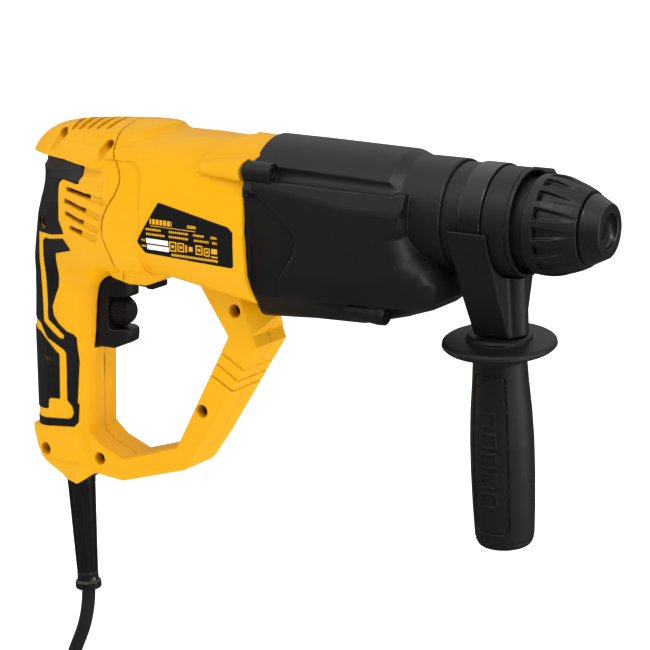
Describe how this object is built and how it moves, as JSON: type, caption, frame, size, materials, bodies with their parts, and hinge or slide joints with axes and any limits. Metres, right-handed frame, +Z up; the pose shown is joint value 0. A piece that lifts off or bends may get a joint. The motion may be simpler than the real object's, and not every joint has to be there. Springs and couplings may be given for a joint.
{
  "type": "rotary hammer",
  "caption": "Corded rotary hammer with slide-back socket chuck, D-shaped rear grip, clamped swivelling side handle, and mains lead put away in a coil.",
  "frame": {"origin": "centre of the rear grip, where a hand holds it", "axes": "+X along the spindle towards the tool, +Z up, +Y to the left seen from behind"},
  "size_m": [0.3625, 0.0899, 0.5865],
  "materials": {
    "black_plastic": "fine spark-eroded texture",
    "yellow_plastic": "satin moulding",
    "soft_rubber": "matt",
    "gloss_black": "gloss",
    "label_film": "printed film",
    "steel": "ground",
    "dark_steel": "blackened",
    "laminated_steel": "laminated",
    "copper_wire": "enamelled",
    "brass": "plain",
    "carbon": "sintered",
    "aluminium": "die cast",
    "red_plastic": "satin",
    "cord_sheath": "smooth sheath"
  },
  "bodies": {
    "hammer": {"spindle_bearings": "steel", "oil_seal": "soft_rubber", "countershaft_bearings": "steel", "armature_bearings": "steel", "stator_core": "laminated_steel", "field_coils": "copper_wire", "brush_holder_ring": "black_plastic", "carbon_brushes": "carbon", "brush_springs": "steel", "bearing_plate": "aluminium", "gear_housing": "black_plastic", "gear_case_screws": "dark_steel", "collar": "black_plastic", "collar_lug": "black_plastic", "motor_housing": "yellow_plastic", "nameplate": "label_film", "grip_cover_right": "soft_rubber", "grip_cover_left": "soft_rubber", "handle_screws": "dark_steel", "trigger_spring": "steel", "switch_body": "black_plastic", "cable_clamp": "black_plastic", "cord_boot": "gloss_black", "power_cord": "cord_sheath", "cord_coil": "cord_sheath", "coil_tie": "black_plastic", "cord_tail": "cord_sheath", "mains_plug": "gloss_black", "plug_pins": "brass", "handle_shell_right": "yellow_plastic", "handle_shell_left": "yellow_plastic"},
    "spindle": {"spindle_tube": "steel", "locking_ball": "steel", "spindle_gear": "steel", "slip_clutch": "steel", "dust_cap": "soft_rubber", "sleeve_spring": "steel"},
    "chuck_sleeve": {"chuck_sleeve": "black_plastic"},
    "piston": {"piston": "aluminium"},
    "striker": {"striker": "steel"},
    "impact_bolt": {"impact_bolt": "steel"},
    "wobble_ring": {"wobble_ring": "steel"},
    "countershaft": {"countershaft": "steel", "countershaft_gear": "steel", "wobble_hub": "steel"},
    "armature": {"armature_shaft": "steel", "armature_core": "laminated_steel", "armature_windings": "copper_wire", "commutator": "copper_wire", "cooling_fan": "black_plastic"},
    "trigger": {"trigger": "black_plastic"},
    "speed_dial": {"speed_dial": "black_plastic"},
    "reverse_lever": {"reverse_lever": "black_plastic"},
    "lock_button": {"lock_button": "black_plastic"},
    "mode_knob": {"mode_knob": "black_plastic"},
    "knob_button": {"knob_button": "red_plastic"},
    "side_handle": {"handle_band": "dark_steel", "handle_bracket": "black_plastic", "handle_bolt": "steel"},
    "side_grip": {"side_grip": "soft_rubber"}
  },
  "joints": [
    {"name": "spindle_turn", "type": "hinge", "parent": "hammer", "child": "spindle", "pos_m": [0.27, 0, 0.105], "axis": [1, 0, 0], "continuous": true},
    {"name": "sleeve_pull", "type": "slide", "parent": "spindle", "child": "chuck_sleeve", "axis": [-1, 0, 0], "range_m": [0, 0.007], "stiffness_N_per_m": 1500, "springref_m": -0.004, "deforming": ["sleeve_spring"]},
    {"name": "piston_stroke", "type": "slide", "parent": "hammer", "child": "piston", "axis": [1, 0, 0], "range_m": [-0.0083, 0.0083]},
    {"name": "striker_travel", "type": "slide", "parent": "hammer", "child": "striker", "axis": [1, 0, 0], "range_m": [0, 0.005]},
    {"name": "impact_bolt_travel", "type": "slide", "parent": "hammer", "child": "impact_bolt", "axis": [1, 0, 0], "range_m": [0, 0.0035]},
    {"name": "wobble_swing", "type": "hinge", "parent": "hammer", "child": "wobble_ring", "pos_m": [0.172, 0, 0.0715], "axis": [0, 1, 0], "range_deg": [-14, 14]},
    {"name": "countershaft_turn", "type": "hinge", "parent": "hammer", "child": "countershaft", "pos_m": [0.19, 0, 0.0715], "axis": [1, 0, 0], "continuous": true},
    {"name": "armature_turn", "type": "hinge", "parent": "hammer", "child": "armature", "pos_m": [0.09, 0, 0.095], "axis": [1, 0, 0], "continuous": true},
    {"name": "trigger_pull", "type": "slide", "parent": "hammer", "child": "trigger", "axis": [-1, 0, 0], "range_m": [0, 0.006], "stiffness_N_per_m": 600, "springref_m": -0.006, "deforming": ["trigger_spring"]},
    {"name": "speed_dial_turn", "type": "hinge", "parent": "trigger", "child": "speed_dial", "pos_m": [0.0307, 0, 0.0286], "axis": [1, 0, 0], "range_deg": [-135, 135]},
    {"name": "reverse_lever_swing", "type": "hinge", "parent": "hammer", "child": "reverse_lever", "pos_m": [0.05, 0, 0.048], "axis": [0, 0, 1], "range_deg": [-15, 15]},
    {"name": "lock_button_press", "type": "slide", "parent": "hammer", "child": "lock_button", "axis": [0, -1, 0], "range_m": [0, 0.003], "stiffness_N_per_m": 400, "springref_m": -0.003},
    {"name": "mode_knob_turn", "type": "hinge", "parent": "hammer", "child": "mode_knob", "pos_m": [0.18, 0.04, 0.097], "axis": [0, 1, 0], "range_deg": [-60, 120]},
    {"name": "knob_button_press", "type": "slide", "parent": "mode_knob", "child": "knob_button", "axis": [0, -1, 0], "range_m": [0, 0.0018], "stiffness_N_per_m": 300, "springref_m": -0.003},
    {"name": "side_handle_swing", "type": "hinge", "parent": "hammer", "child": "side_handle", "pos_m": [0.266, 0, 0.105], "axis": [1, 0, 0], "range_deg": [-180, 180]},
    {"name": "side_grip_turn", "type": "hinge", "parent": "side_handle", "child": "side_grip", "pos_m": [0.2674, 0.00958, 0.00546], "axis": [0, 0.0958, -0.9954], "range_deg": [0, 360]}
  ],
  "couplings": [
    {"joint": "countershaft_turn", "follows": "armature_turn", "ratio": -0.20513},
    {"joint": "spindle_turn", "follows": "armature_turn", "ratio": 0.049383},
    {"joint": "piston_stroke", "follows": "wobble_swing", "m_per_rad": 0.0335}
  ]
}
